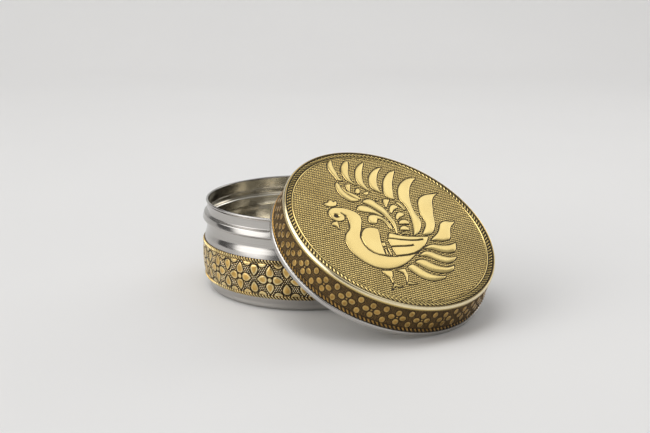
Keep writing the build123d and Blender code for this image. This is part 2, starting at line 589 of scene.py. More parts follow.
@dataclass(frozen=True)
class Strip:
    """Strip of embossed brass sheet round a drum, open at its seam.

    Lengths are in millimetres. The drum gives its radius at a height, moved outward. The first
    repeat starts at an angle in degrees, and each rope comes with the height of its middle.
    """

    name: str
    place: Place
    drum: Callable[[float, float], float]
    span: Span
    rows: int
    repeats: int
    columns: int
    first: float
    ropes: tuple[tuple[float, Rope], ...]
    sheet: Sheet
    back_runs = 8
    rope_sink = 0.02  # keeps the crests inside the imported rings
    rounding = 1e-9  # keeps rows that lie on a rope's very edge inside it

    def heights(self) -> Array:
        """Height of each row."""
        return np.linspace(*self.span, self.rows)

    def tile(self, width: float, zero: float) -> Relief:
        """Flat ground of one repeat of a given width, from a height that counts as zero."""
        across = (np.arange(self.columns) / self.columns - 0.5) * width
        return Relief(*np.meshgrid(across, self.heights() - zero))

    def wrap(self, tile: Relief) -> Piece:
        """Repeats a tile round the drum, adds the ropes and closes the sheet.

        Args:
            tile: Relief of one repeat.

        Returns:
            The strip's object.
        """
        columns = self.repeats * self.columns
        turn = math.radians(self.first) + np.arange(columns) * FULL_TURN / columns
        height, gilt = (np.tile(part, (1, self.repeats)) for part in (tile.height, tile.gilt))
        up = self.heights()
        for middle, rope in self.ropes:
            across = (up[:, None] - middle) / (rope.width / 2)
            twist, polish_and_painted_highlight = rope.twist(turn[None, :], across)
            inside = np.abs(across) <= 1 + self.rounding
            full = self.sheet.relief + rope.rise - self.rope_sink
            height = np.where(inside, full * twist, height)
            gilt = np.where(inside, polish_and_painted_highlight, gilt)
        # The columns are put in order from the seam, which is at the back.
        past_seam = np.mod(turn - math.pi / 2, FULL_TURN)
        order = np.argsort(past_seam)
        turn, height, gilt = math.pi / 2 + past_seam[order], height[:, order], gilt[:, order]
        ground = self.sheet.outside() - self.sheet.relief
        outward = np.array([[self.drum(z, ground)] for z in up]) + height
        half = self.sheet.seam_gap / 2 / float(outward.mean())
        turn[0], turn[-1] = math.pi / 2 + half, math.pi / 2 + FULL_TURN - half
        level = np.repeat(up[:, None], columns, 1)
        skin = Skin()
        face = skin.add(np.stack([outward * np.cos(turn), outward * np.sin(turn), level], -1), gilt)
        # The plain back has few rows, so each side of the seam joins many rows to few.
        back_up = np.linspace(up[0], up[-1], self.back_runs + 1)
        back = np.array([[self.drum(z, self.sheet.glue), z] for z in back_up])
        rear = skin.add(ring_points(back, turn))
        ends = (np.stack([rear[0], face[0]]), np.stack([face[-1], rear[-1]]))
        for numbers in (face, rear[::-1], *ends):
            skin.weave(numbers, False)
        steps = np.linspace(0, self.rows - 1, self.back_runs + 1).round().astype(int)
        for column, order in ((0, -1), (-1, 1)):
            for row, (low, high) in enumerate(zip(steps, steps[1:])):
                side = [*face[low : high + 1, column][::-1], *rear[row : row + 2, column]]
                skin.faces.append(np.array([side[::order]]))
        return skin.to_object(self.name, self.place)


@dataclass(frozen=True)
class Noise:
    """Grey noise with its scale per metre."""

    scale: float
    detail: float = 2
    roughness: float = 0.5


class Nodes:
    """Short way to write a node tree."""

    def __init__(self, tree: bpy.types.NodeTree) -> None:
        """Takes the tree that the nodes go into."""
        self.tree = tree

    def add(self, kind: str, inputs: dict | None = None, **settings: object) -> Node:
        """Adds a node.

        Args:
            kind: Blender's name of the node's type.
            inputs: Values or sockets for its inputs, by name or number.
            settings: Values for its properties.

        Returns:
            The new node.
        """
        node = self.tree.nodes.new(kind)
        for name, value in settings.items():
            setattr(node, name, value)
        self.feed(node, inputs or {})
        return node

    def feed(self, node: Node, inputs: dict) -> None:
        """Sets a node's inputs, or links them where the value is a socket.

        Args:
            node: The node.
            inputs: Values or sockets for its inputs, by name or number.
        """
        for key, value in inputs.items():
            if isinstance(value, Socket):
                self.tree.links.new(value, node.inputs[key])
            else:
                node.inputs[key].default_value = value

    def math(self, operation: str, *values: Value) -> Socket:
        """Result of one sum on sockets or numbers."""
        node = self.add("ShaderNodeMath", dict(enumerate(values)), operation=operation)
        return node.outputs[0]

    def graded(self, value: Value, source: Span, result: Span = (0, 1)) -> Socket:
        """Maps a value smoothly from one span to another.

        Args:
            value: The value.
            source: Span that it is taken from.
            result: Span that it is taken to.

        Returns:
            The mapped value.
        """
        limits = {"From Min": source[0], "From Max": source[1]}
        limits |= {"To Min": result[0], "To Max": result[1], "Value": value}
        node = self.add("ShaderNodeMapRange", limits, interpolation_type="SMOOTHSTEP")
        return node.outputs["Result"]

    def mix(self, share: Value, first: Socket | Triple, second: Socket | Triple) -> Socket:
        """Mixes two colours.

        Args:
            share: Share of the second colour.
            first: The first colour.
            second: The second colour.

        Returns:
            The colour between them.
        """
        ends = (tone if isinstance(tone, Socket) else (*tone, 1) for tone in (first, second))
        node = self.add("ShaderNodeMix", data_type="RGBA")
        self.feed(node, dict(zip((0, 6, 7), (share, *ends))))
        return node.outputs[2]

    def noise(self, vector: Socket, noise: Noise) -> Socket:
        """Draws grey noise.

        Args:
            vector: Places at which it is drawn.
            noise: Its scale and roughness.

        Returns:
            The noise, from 0 to 1.
        """
        inputs = {"Vector": vector, "Scale": noise.scale}
        inputs |= {"Detail": noise.detail, "Roughness": noise.roughness}
        return self.add("ShaderNodeTexNoise", inputs).outputs["Fac"]

    def dimmed(self, tone: Socket, value: Value) -> Socket:
        """Colour with its brightness multiplied."""
        inputs = {"Value": value, "Color": tone}
        return self.add("ShaderNodeHueSaturation", inputs).outputs[0]

    def bump(self, height: Socket, strength: float, distance: float) -> Socket:
        """Normal over a grey height; the distance is in metres."""
        inputs = {"Strength": strength, "Distance": distance, "Height": height}
        return self.add("ShaderNodeBump", inputs).outputs[0]

    def spot(self, name: str, output: str) -> Socket:
        """A value that the mesh carries."""
        return self.add("ShaderNodeAttribute", attribute_name=name).outputs[output]


class Finish(Nodes):
    """Node tree of one new material."""

    def __init__(self, name: str) -> None:
        """Starts a new material.

        Args:
            name: Its name.
        """
        self.material = bpy.data.materials.new(name)
        self.material.use_nodes = True
        super().__init__(self.material.node_tree)

    def shade(self, colour: Socket, roughness: Value, **inputs: Value) -> Material:
        """Feeds the shader.

        Args:
            colour: Its base colour.
            roughness: Its roughness.
            inputs: Values or sockets for its other inputs, by name.

        Returns:
            The finished material.
        """
        inputs = {"Base Color": colour, "Roughness": roughness, **inputs}
        self.feed(self.tree.nodes["Principled BSDF"], inputs)
        return self.material


@dataclass(frozen=True)
class PolishedSteel:
    """Drawn stainless steel, polished on the lathe."""

    name: str
    tone: Triple = (0.51, 0.49, 0.465)
    # Paler tone of the inside: painted light that brightens the hollow of the pot and of the lid.
    painted_light_inside_tone: Triple = (0.82, 0.785, 0.70)
    lines: Noise = Noise(5200, 3, 0.7)
    line_tone_span: Span = (0.35, 0.65)
    line_tone: float = 0.85
    line_shine_span: Span = (0.3, 0.7)
    line_shine: Span = (0, 0.04)
    smudge: Noise = Noise(55, 3, 0.6)
    smudge_span: Span = (0.4, 0.75)
    shine: Span = (0.12, 0.19)
    wave: Noise = Noise(28, 1)
    wave_strength: float = 0.05
    wave_depth: float = 0.0006

    def material(self) -> Material:
        """Node material with turning lines, faint smudges, a soft wave and an inside painted paler
        as painted light.

        Returns:
            The material.
        """
        nodes = Finish(self.name)
        place = nodes.spot(PLACE, "Vector")
        x, y, z = nodes.add("ShaderNodeSeparateXYZ", {0: place}).outputs
        squares = nodes.math("ADD", *(nodes.math("POWER", side, 2.0) for side in (x, y)))
        radius = nodes.math("SQRT", squares)
        profile = nodes.add("ShaderNodeCombineXYZ", {0: radius, 1: 0.0, 2: z}).outputs[0]
        lines = nodes.noise(profile, self.lines)
        # The gilt attribute marks the inside here; its paler tone is painted light.
        tone = nodes.mix(nodes.spot(GILT, "Fac"), self.tone, self.painted_light_inside_tone)
        dimmed = nodes.dimmed(tone, self.line_tone)
        colour = nodes.mix(nodes.graded(lines, self.line_tone_span), tone, dimmed)
        smudged = nodes.graded(nodes.noise(place, self.smudge), self.smudge_span, self.shine)
        lined = nodes.graded(lines, self.line_shine_span, self.line_shine)
        soft = nodes.bump(nodes.noise(place, self.wave), self.wave_strength, self.wave_depth)
        rough = nodes.math("ADD", smudged, lined)
        return nodes.shade(colour, rough, Metallic=1.0, Normal=soft)


@dataclass(frozen=True)
class AntiqueBrass:
    """Embossed brass with dark patina in the ground, polished high parts, and a near-white tone
    past full gilding that is partly bare worn brass, partly painted highlight.
    """

    name: str
    bright: Triple
    warm: Triple
    ground: Triple = (0.014, 0.010, 0.005)
    polish: float = 0.24
    patchy: float = 0.0
    # Near-white tone where the gilding goes over 1: partly bare worn brass at the tips, partly a
    # painted highlight.
    bare_tip_and_painted_highlight: Triple = (1.0, 0.93, 0.74)
    ageing: Triple = (1.7, 1.8, 1.9)
    bright_span: Span = (0.65, 1.0)
    bare_tip_and_painted_highlight_span: Span = (1.0, 1.4)
    drift: Noise = Noise(70, 1)
    drift_span: Span = (0.35, 0.65)
    drift_loss: Span = (0, 0.35)
    grain: Noise = Noise(2600, 3, 0.65)
    grain_span: Span = (0.3, 0.7)
    grain_wear: Span = (-0.1, 0.1)
    grain_rough: Span = (-0.02, 0.03)
    grain_strength: float = 0.1
    grain_depth: float = 0.00006
    spots: Noise = Noise(600, 4, 0.7)
    spot_span: Span = (0.4, 0.65)
    patch: Noise = Noise(330)
    patch_span: Span = (0.35, 0.6)
    worn_span: Span = (0.1, 0.65)
    metal_span: Span = (0, 0.6)
    metallic: Span = (0.35, 1.0)
    dull: float = 0.5
    specular: float = 0.25

    def material(self) -> Material:
        """Node material led by the gilding that the mesh carries.

        Returns:
            The material.
        """
        nodes = Finish(self.name)
        place = nodes.spot(PLACE, "Vector")
        gilt = nodes.spot(GILT, "Fac")
        grain = nodes.noise(place, self.grain)
        loss = nodes.graded(nodes.noise(place, self.drift), self.drift_span, self.drift_loss)
        paler = nodes.math("SUBTRACT", nodes.graded(gilt, self.bright_span), loss)
        metal = nodes.mix(nodes.math("MAXIMUM", paler, 0.0), self.warm, self.bright)
        # Gilding over 1 mixes in the near-white tone: painted highlight over bare worn tips.
        metal = nodes.mix(nodes.graded(gilt, self.bare_tip_and_painted_highlight_span), metal, self.bare_tip_and_painted_highlight)
        aged = tuple(tone * gain for tone, gain in zip(self.ground, self.ageing))
        spots = nodes.graded(nodes.noise(place, self.spots), self.spot_span)
        dark = nodes.mix(spots, self.ground, aged)
        wear = nodes.graded(grain, self.grain_span, self.grain_wear)
        share = nodes.graded(nodes.math("ADD", gilt, wear), self.worn_span)
        patch = nodes.noise(place, self.patch)
        value = nodes.graded(patch, self.patch_span, (1 - self.patchy, 1))
        rough = nodes.graded(share, (0, 1), (self.dull, self.polish))
        grainy = nodes.graded(grain, self.grain_span, self.grain_rough)
        inputs = {
            "Metallic": nodes.graded(share, self.metal_span, self.metallic),
            "Specular IOR Level": self.specular,
            "Normal": nodes.bump(grain, self.grain_strength, self.grain_depth),
        }
        colour = nodes.mix(share, dark, nodes.dimmed(metal, value))
        return nodes.shade(colour, nodes.math("ADD", rough, grainy), **inputs)


STEEL = PolishedSteel("polished_steel")
BELLY_BRASS = AntiqueBrass(
    "belly_brass", (0.84, 0.74, 0.42), (0.70, 0.44, 0.13), polish=0.2, patchy=0.3
)
# The skirt's brass: its own browner tone, darkened further as painted shade for the downward-facing
# skirt.
SKIRT_BRASS_WITH_PAINTED_SHADE = AntiqueBrass(
    "skirt_brass", (0.52, 0.375, 0.14), (0.48, 0.28, 0.08), (0.036, 0.022, 0.009), patchy=0.3
)
PLATE_BRASS = AntiqueBrass(
    "plate_brass", (0.74, 0.58, 0.235), (0.63, 0.46, 0.165), (0.03, 0.021, 0.01), polish=0.17
)


def hand_over(
    piece: Piece, node: str, body: Body, finish: PolishedSteel | AntiqueBrass
) -> None:
    """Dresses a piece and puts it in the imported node's stead.

    Args:
        piece: The finished piece.
        node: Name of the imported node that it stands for.
        body: Body that it moves with.
        finish: Its finish.
    """
    piece.data.materials.append(finish.material())
    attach(piece, body.value)
    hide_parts(node)
    mesh = piece.data
    log.info("%s: %d vertices, %d faces", piece.name, len(mesh.vertices), len(mesh.polygons))


@dataclass
class Pot:
    """Steel pot with its embossed belly band; sizes in millimetres."""

    foot_height: float = 6.3
    band_height: float = 20.8
    shoulder_height: float = 5.4
    waist_height: float = 5.0
    bead_height: float = 4.8
    neck_height: float = 6.3
    wall: float = 0.6
    neck_radius: float = 54.6
    curl_radius: float = 0.65
    curl_turns: Span = (-90, 200)
    curl_runs: int = 24
    bead_proud: float = 2.6
    bead_slope: float = 0.8
    bead_corner: float = 0.8
    waist_proud: float = 0.3
    belly_proud: float = 2.3
    belly_crown: float = 12.45
    belly_curve: float = 55.2
    belly_runs: int = 23
    foot_inset: float = 0.7
    foot_corner: float = 1.8
    foot_taper_height: float = 3.0
    foot_bend: float = 2.5
    shoulder_turn_height: float = 2.4
    shoulder_turn_inset: float = 0.4
    shoulder_bend: float = 6.0
    bend: float = 0.5
    panel_radius: float = 38.0
    ring_width: float = 5.0
    ring_rise: float = 0.9
    longest_run: float = 1.6
    sheet: Sheet = Sheet()
    rope: Rope = Rope(width=1.9, rise=0.35, strands=200, slant=0.42, crest=0.2)
    flowers: int = 20
    first_flower: float = -109.4
    tile_columns: int = 100
    rows: int = 116
    petal: Stroke = Stroke(0.2, 0.4, 0.2, 2.1, lip=0.06, lip_at=0.55, lip_width=0.18, hollow=0.32)
    disc: Stroke = Stroke(0.3, 0.35, 0.1, 1.1, lip=0.14, lip_at=0.5, lip_width=0.2)
    disc_radius: float = 1.2
    disc_points: int = 12
    tall_half: tuple[Point, ...] = (
        (0, 1.65), (1.35, 1.95), (2.15, 3.2), (2.0, 4.7), (1.15, 6.3), (0, 7.6),
    )
    wide_half: tuple[Point, ...] = (
        (1.65, 0), (2.0, 1.35), (3.2, 2.2), (4.7, 2.1), (6.1, 1.2), (7.3, 0),
    )
    lens: tuple[Point, ...] = ((-2.6, 8.4), (-1.7, 7.0), (0, 6.35), (1.7, 7.0), (2.6, 8.4))
    half_flower_height: float = 9.0
    pips_across: int = 16

    def belly_radius(self, height: float, outward: float = 0.0) -> float:
        """Radius of the round belly.

        Args:
            height: Height over the table.
            outward: Distance outward from the steel's outside.

        Returns:
            The radius at that height.
        """
        centre = self.neck_radius + self.belly_proud - self.belly_curve
        rise = height - self.foot_height - self.belly_crown
        return centre + math.sqrt((self.belly_curve + outward) ** 2 - rise**2)

    def shell(self) -> Piece:
        """The drawn steel pot.

        Returns:
            The shell's object.
        """
        zones = (self.foot_height, self.band_height, self.shoulder_height, self.waist_height)
        zones += (self.bead_height, self.neck_height)
        band_bottom, band_top, waist_bottom, bead_bottom, bead_top, top = accumulate(zones)
        foot = self.neck_radius - self.foot_inset
        waist = self.neck_radius + self.waist_proud
        bead = self.neck_radius + self.bead_proud
        ring_end = self.panel_radius + self.ring_width
        inward = self.bend + self.wall
        belly = [
            (self.belly_radius(height), float(height))
            for height in np.linspace(band_bottom, band_top, self.belly_runs + 1)
        ]
        outside = Path().through(
            [
                (0, 0),
                (self.panel_radius, 0),
                (self.panel_radius + self.ring_rise, self.ring_rise),
                (ring_end - self.ring_rise, self.ring_rise),
                (ring_end, 0),
                (foot, 0),
                (foot, band_bottom - self.foot_taper_height),
                belly[0],
            ],
            [inward, self.bend, self.bend, inward, self.foot_corner, self.foot_bend],
        )
        outside.points += belly[1:-1]
        outside.through(
            [
                belly[-1],
                (belly[-1][0] - self.shoulder_turn_inset, band_top + self.shoulder_turn_height),
                (waist, waist_bottom),
                (waist, bead_bottom),
                (bead, bead_bottom + self.bead_slope),
                (bead - self.bead_slope, bead_top - self.bead_slope),
                (self.neck_radius, bead_top),
                (self.neck_radius, top - 2 * self.curl_radius),
            ],
            [*[self.shoulder_bend] * 2, self.bend, *[self.bead_corner] * 2, self.bend],
        )
        inside = outside.moved(self.wall)
        curl = (self.neck_radius, top - self.curl_radius)
        outside.arc(curl, self.curl_radius, self.curl_turns, self.curl_runs)
        rim = np.array(outside.points[-1])
        outside.points.extend(reversed(inside.points))
        line = outside.divided(self.longest_run)
        line[0][0] = line[-1][0] = 0
        turned_in = np.argmin(np.linalg.norm(line - rim, axis=1))
        return lathe("pot_steel", line, np.arange(len(line)) > turned_in, POT_PLACE)

    def band(self) -> Piece:
        """The embossed brass strip round the belly, with flowers of four petals.

        Returns:
            The band's object.
        """
        bottom, top = self.foot_height, self.foot_height + self.band_height
        middles = bottom + self.rope.width / 2, top - self.rope.width / 2
        strip = Strip(
            name="belly_brass_band",
            place=POT_PLACE,
            drum=self.belly_radius,
            span=(bottom, top),
            rows=self.rows,
            repeats=self.flowers,
            columns=self.tile_columns,
            first=self.first_flower - 180 / self.flowers,
            ropes=tuple((middle, self.rope) for middle in middles),
            sheet=self.sheet,
        )
        around = FULL_TURN * self.belly_radius(bottom + self.belly_crown, self.sheet.brass)
        width = around / self.flowers
        tile = strip.tile(width, (bottom + top) / 2)
        tall = [*self.tall_half, *((-x, y) for x, y in self.tall_half[-2:0:-1])]
        wide = [*self.wide_half, *((x, -y) for x, y in self.wide_half[-2:0:-1])]
        for side in (1, -1):
            tile.emboss([(x, side * y) for x, y in tall], self.petal)
            tile.emboss([(side * x, y) for x, y in wide], self.petal)
            for edge in (width / 2, -width / 2):
                upside = [(x + edge, side * (self.half_flower_height - y)) for x, y in tall]
                tile.emboss(upside, self.petal)
                tile.emboss([(x + edge / 2, side * y) for x, y in self.lens], self.petal)
        tile.emboss(oval((0, 0), self.disc_radius, self.disc_radius, self.disc_points), self.disc)
        spacing = width / self.pips_across
        # Pips gilded past 1 take part of the near-white tone: a painted highlight over their bare
        # worn tops.
        tile.stipple(Pips(spacing, rise=0.36, clear=0.52, shine=1.35, round_share=0.305))
        return strip.wrap(tile)

    def build(self) -> None:
        """Builds and dresses the pot's pieces."""
        hand_over(self.shell(), "box_shell", Body.BOX, STEEL)
        hand_over(self.band(), "belly_band", Body.BOX, BELLY_BRASS)


SOLID = Stroke(0.32, edge=0.6, crown=0.2, crown_depth=5.0)
FEATHER = Stroke(0.28, edge=0.55, crown=0.26, crown_depth=3.0)
SMALL = Stroke(0.3, edge=0.45, crown=0.14, crown_depth=1.5)
# The neck with the breast, the head, the shoulder and the wing.
SOLIDS = (
    [(-30.1, 14.6), (-29.3, 16.5), (-27.6, 18), (-24.9, 18.8), (-21.5, 18.3), (-18.5, 17.2),
     (-15.8, 15.2), (-14, 13), (-13.3, 10.8), (-13.6, 8.6), (-14.9, 6.3), (-16.8, 4),
     (-18.8, 1.6), (-20.7, -0.4), (-22.3, -2.4), (-23.6, -4.6), (-24.4, -7.5), (-24.4, -10.5),
     (-23.5, -13.2), (-21.9, -15.6), (-19.5, -17.5), (-16.5, -18.8), (-12.5, -20), (-8, -20.9),
     (-3.5, -21.4), (1.2, -20.9), (-1, -21.9), (-4, -23.2), (-7.5, -24.7), (-11.5, -26),
     (-16, -26.7), (-20.5, -26.4), (-24.5, -25.2), (-28, -23), (-30.6, -20), (-32.4, -16.7),
     (-33.4, -13), (-33.7, -9.5), (-33.2, -6), (-32, -3), (-30.2, -0.6), (-28, 1.2),
     (-25.5, 2.7), (-23.7, 4.8), (-22.2, 7.4), (-21.3, 9.9), (-21, 12), (-22.5, 13.9),
     (-24.6, 15), (-27.4, 15)],
    oval((-26.2, 13.1), 4.1, 4.1),
    [(-18.7, 0.2), (-16.3, 1.5), (-13.8, 1.7), (-11.3, 1), (-9.2, -0.3), (-10.5, -3.5),
     (-12.2, -6.5), (-13.5, -9), (-14.7, -12), (-15.9, -15), (-17, -18.9), (-19.7, -17.9),
     (-22.2, -15.9), (-23.9, -13.3), (-24.8, -10.5), (-24.8, -7.4), (-23.8, -4.6), (-21.6, -2)],
    [(-5.2, -4.7), (-3.6, -5.2), (-1.5, -6.6), (1, -7.9), (4, -9.1), (8, -10.2), (12, -11.3),
     (15.8, -12.1), (14, -13.9), (11, -16.2), (8, -17.9), (5, -19.3), (2, -20.7), (-2, -21.6),
     (-6, -21.5), (-11, -20.8), (-10.6, -17), (-10, -14.2), (-9.3, -11), (-8.6, -8.4),
     (-7, -6.8), (-6, -5.6)],
)
# Three plumes on the back, twelve tail feathers from the top clockwise, and the leaf.
FEATHERS = (
    [(-10.9, 4.8), (-10.4, 6.8), (-9, 8.6), (-7, 9.5), (-4.8, 9.2), (-2.7, 8), (-1.2, 6.2),
     (-0.4, 4), (-0.1, 1.5), (-0.4, -1), (-1.6, -3.6), (-2.3, -1.5), (-2.1, 0.8), (-2.4, 3),
     (-3.4, 5), (-4.7, 5.9), (-5.9, 5), (-7, 3.6), (-8.6, 3.1), (-10.2, 3.6)],
    [(-11.8, 15.2), (-10.6, 16.4), (-8.6, 17.1), (-6.6, 16.6), (-4.4, 15.2), (-2.8, 13.2),
     (-1.6, 11.2), (-0.5, 9), (0.3, 6.8), (-1.4, 7), (-3.4, 9.4), (-6, 10.8), (-9, 12),
     (-12, 13.6)],
    [(-5.8, 18.6), (-4.4, 19.9), (-2, 20.4), (0.2, 20.1), (1.7, 18.8), (2.2, 17), (3, 15),
     (4, 12.9), (4.3, 10), (4.1, 7), (4, 4), (3.6, 1.5), (2.8, -0.8), (1.4, -3.4), (0.2, -5.6),
     (-1, -6.4), (-0.2, -4), (0.8, -1), (1.3, 2), (1.2, 5), (0.7, 8), (-0.4, 11), (-1.9, 14),
     (-3.7, 16.6)],
    [(-3.6, 52.3), (-5.4, 51.4), (-7.3, 49.8), (-8.8, 47.6), (-9.7, 45.1), (-9.9, 42.6),
     (-9.8, 40.2), (-9.8, 38.2), (-9.8, 37), (-8.6, 36.2), (-6.3, 35.8), (-6.9, 37.1),
     (-7.1, 38.7), (-6.7, 40.7), (-6, 43.1), (-5.7, 45.5), (-5.1, 47.8), (-4, 50.4), (-3.4, 51.9)],
    [(6.1, 49.6), (3.9, 49.5), (1.2, 47.8), (-1.2, 45.5), (-2.9, 42.8), (-3.9, 40.3),
     (-4.3, 37.5), (-4, 35), (-3, 33.1), (-1.6, 31.5), (-0.4, 31), (-1.2, 33.2), (-1.5, 35),
     (-1.1, 37.3), (0, 39.8), (1.6, 42.6), (3.6, 45.2), (5.4, 48)],
    [(15.1, 46.6), (12.4, 46), (9.3, 44.4), (6.4, 42.2), (4.1, 39.6), (2.3, 36.8), (1.3, 34),
     (1, 31.4), (1.6, 28.9), (2.7, 26.9), (4.5, 25), (4.6, 27.3), (4.5, 29.5), (4.8, 32.1),
     (5.8, 34.6), (7.3, 37.2), (9.2, 39.9), (11.4, 42.5), (13.6, 44.9)],
    [(23.5, 40.9), (20.6, 40.8), (17.3, 39.9), (13.8, 38), (11.1, 35.8), (8.8, 33.2),
     (7.4, 30.4), (6.9, 27.8), (7.4, 25.6), (8.8, 24.1), (9.9, 22.5), (10.5, 24.6), (11.1, 26.9),
     (12, 29.3), (13.5, 31.7), (15.5, 34.3), (17.9, 36.9), (20.7, 39.1)],
    [(30.2, 37.1), (27.7, 34.6), (24.7, 31.5), (21.9, 28.4), (19.6, 25.2), (17.6, 22),
     (15.7, 18.8), (14.7, 16.5), (12.9, 17.4), (11.5, 18.7), (11.2, 20.8), (12.2, 23.7),
     (14.2, 26.9), (16.6, 30), (19.4, 32.7), (22.6, 34.9), (26, 36.6)],
    [(39.3, 28.7), (36.1, 27.3), (33.2, 25.4), (30.3, 23), (27.6, 19.9), (25.5, 17),
     (23.8, 14.1), (22.3, 11.2), (21.2, 8.5), (20.4, 5.4), (20.2, 2.5), (19.6, -0.3), (18, -3.3),
     (15.6, -5.8), (12.7, -8), (9.9, -9.2), (7.6, -9.7), (9.2, -8), (11.2, -5.1), (13.4, -1.3),
     (15.1, 2), (16.4, 5.1), (17.3, 7.8), (17.7, 9.5), (17.9, 12), (17.6, 14.4), (18, 16.9),
     (19.3, 19.6), (21.1, 22.2), (23.5, 24.7), (26.3, 26.8), (29.6, 28.5), (32.9, 29.5),
     (36.3, 29.6)],
    [(44.5, 15.3), (41.7, 14.2), (39, 12.7), (36.9, 10.7), (34.9, 8.1), (32.8, 5), (30.3, 1.5),
     (28.4, -1.9), (26.4, -4.9), (24.1, -7.4), (21.6, -9.4), (18.8, -10.7), (16.2, -11),
     (14.2, -10.4), (14.4, -9.3), (16.9, -7.3), (19.5, -5.1), (21.3, -2.4), (22.1, 0.4),
     (22.6, 3.5), (24, 6.7), (26.1, 10.1), (26.3, 10.6), (28.7, 13.1), (31.2, 14.7),
     (34.1, 15.6), (37.1, 15.9), (40.7, 15.6)],
    [(39.6, -6.2), (37, -5.4), (34, -4.5), (31.4, -4.7), (29.2, -5.8), (27, -8), (24, -10.6),
     (20.6, -12.4), (17.4, -13.8), (15.6, -15), (18.2, -15.6), (21, -16.6), (24.2, -17.2),
     (27.2, -16.6), (29.6, -14.6), (31.8, -11.6), (34.4, -9), (37, -7.6)],
    [(7, -18.8), (9.6, -18.2), (12.6, -17.6), (15.4, -17.8), (18.4, -19), (21.4, -20),
     (24.6, -20.4), (28.9, -19.8), (27.6, -21.6), (25.6, -24), (23.4, -25.2), (20.6, -25.2),
     (17.6, -24.4), (14.8, -22.8), (12, -20.8), (9.4, -19.6)],
    [(1.2, -22.6), (3.4, -21.8), (6, -20.9), (8.6, -21.2), (11.2, -22.6), (13.4, -24.6),
     (16, -26.6), (19, -28), (22.8, -28.4), (20.6, -29.8), (17.6, -31), (14.4, -31.2),
     (11.6, -30), (9.2, -28), (7, -25.6), (4.6, -23.8)],
    [(-4, -25.9), (-1.4, -25.1), (1.2, -25.3), (3.4, -26.6), (5, -28.8), (7.4, -31.2),
     (10.4, -33), (13.4, -33.8), (16.8, -33.4), (14.6, -35.6), (11, -36.8), (7, -36.4),
     (3.6, -35.2), (0.6, -33), (-1.4, -30.4), (-2.8, -28)],
    [(-10.2, -27.6), (-8.2, -27), (-6, -26.9), (-4.6, -28.6), (-3.2, -31.4), (-1.4, -34),
     (1.2, -36.2), (4.2, -37.6), (7.4, -38.4), (5, -39.6), (1.6, -40.1), (-2.2, -39.6),
     (-5.4, -37.8), (-7.6, -35.4), (-9.2, -32.2), (-10, -29.8)],
    [(-10.6, 35.9), (-12.6, 34.5), (-14.1, 31.8), (-14.8, 28.6), (-14.5, 25.4), (-13.4, 22.6),
     (-11.6, 20.8), (-9.2, 20), (-7, 20.1), (-6.6, 21.4), (-8.2, 23), (-9.8, 25.4),
     (-10.7, 28.4), (-10.8, 31.4), (-10.4, 34)],
)
